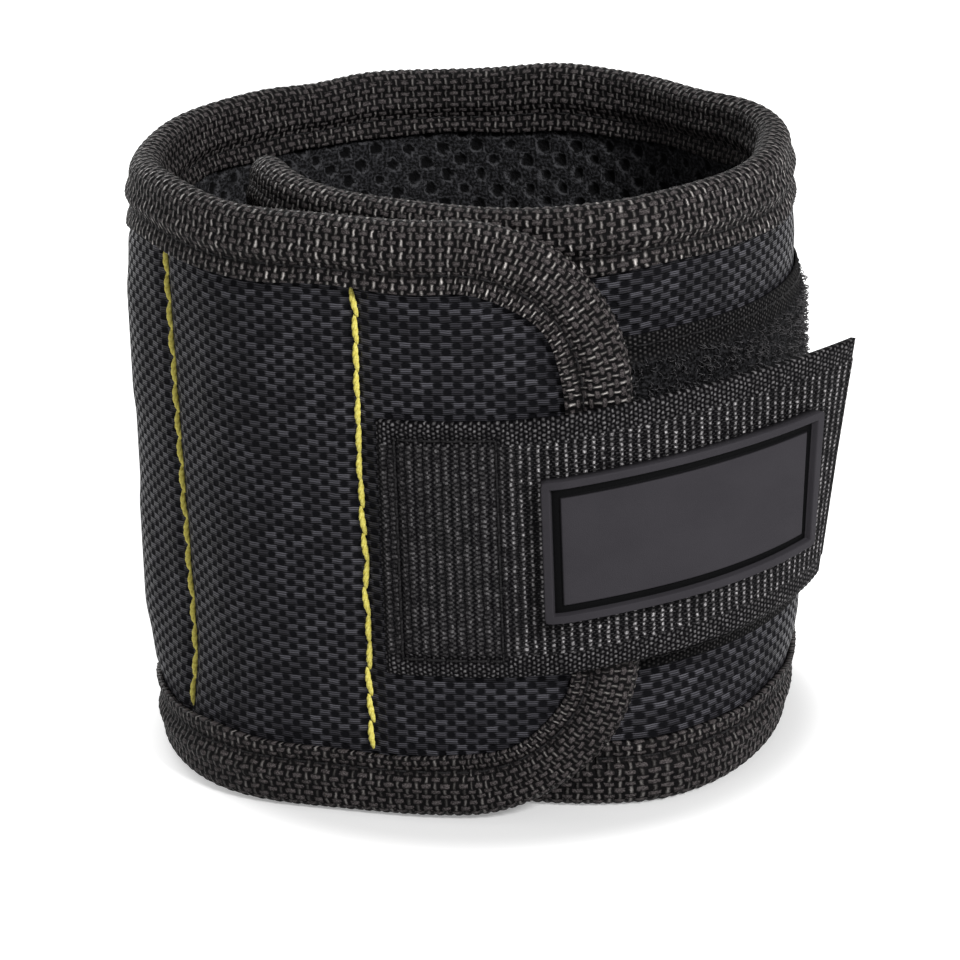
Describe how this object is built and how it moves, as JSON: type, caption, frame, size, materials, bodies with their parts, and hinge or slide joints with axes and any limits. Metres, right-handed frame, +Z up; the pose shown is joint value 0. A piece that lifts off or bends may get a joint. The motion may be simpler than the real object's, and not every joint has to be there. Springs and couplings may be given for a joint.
{
  "type": "magnetic wristband",
  "caption": "Padded fabric wristband with magnets sewn into pockets, a bound edge, a mesh lining, and a hook strap with a rubber patch that closes on a loop tape.",
  "frame": {"origin": "middle of the footprint of the closed band, on the surface that it stands on", "axes": "+Z up along the roll's axis, -Y towards the flap and the strap, +X the way the strap points"},
  "size_m": [0.1074, 0.109, 0.09],
  "materials": {
    "cover": "woven polyester, matt",
    "padding": "soft padding",
    "lining": "air mesh",
    "binding": "coarse woven tape",
    "black_thread": "sewing thread",
    "yellow_thread": "twisted sewing thread",
    "magnet": "nickel plated",
    "loop": "brushed loop pile",
    "strap": "back of woven hook tape",
    "rubber": "moulded, satin"
  },
  "bodies": {
    "back": {"cover_back": "cover", "padding_back": "padding", "lining_back": "lining", "binding_back_upper": "binding", "binding_back_lower": "binding", "binding_stitching_back_upper": "black_thread", "binding_stitching_back_lower": "black_thread", "pocket_seam_3": "yellow_thread", "pocket_seam_4": "yellow_thread", "pocket_seam_5": "yellow_thread", "pocket_seam_6": "yellow_thread", "magnet_2_lower": "magnet", "magnet_2_upper": "magnet", "magnet_3_lower": "magnet", "magnet_3_upper": "magnet", "magnet_4_lower": "magnet", "magnet_4_upper": "magnet", "magnet_5_lower": "magnet", "magnet_5_upper": "magnet"},
    "flap": {"cover_flap": "cover", "padding_flap": "padding", "lining_flap": "lining", "binding_flap": "binding", "binding_stitching_flap": "black_thread", "pocket_seam_1": "yellow_thread", "pocket_seam_2": "yellow_thread", "magnet_1_lower": "magnet", "magnet_1_upper": "magnet", "hook_strap_base": "strap", "strap_stitching": "black_thread"},
    "tail": {"cover_tail": "cover", "padding_tail": "padding", "lining_tail": "lining", "binding_tail": "binding", "binding_stitching_tail": "black_thread", "loop_tape": "loop", "loop_tape_stitching": "black_thread"},
    "strap_end": {"hook_strap_end": "strap", "rubber_patch": "rubber", "patch_stitching": "black_thread"}
  },
  "joints": [
    {"name": "flap_open", "type": "hinge", "parent": "back", "child": "flap", "pos_m": [-0.04933, -0.0181, 0.045], "axis": [0, 0, -1], "range_deg": [0, 100]},
    {"name": "tail_open", "type": "hinge", "parent": "back", "child": "tail", "pos_m": [0.04114, 0.03017, 0.045], "axis": [0, 0, 1], "range_deg": [0, 60]},
    {"name": "strap_peel", "type": "hinge", "parent": "flap", "child": "strap_end", "pos_m": [0.00309, -0.05069, 0.0418], "axis": [0, 0, -1], "range_deg": [0, 120]}
  ],
  "couplings": [
    {"joint": "tail_open", "follows": "flap_open", "ratio": 0.6}
  ]
}
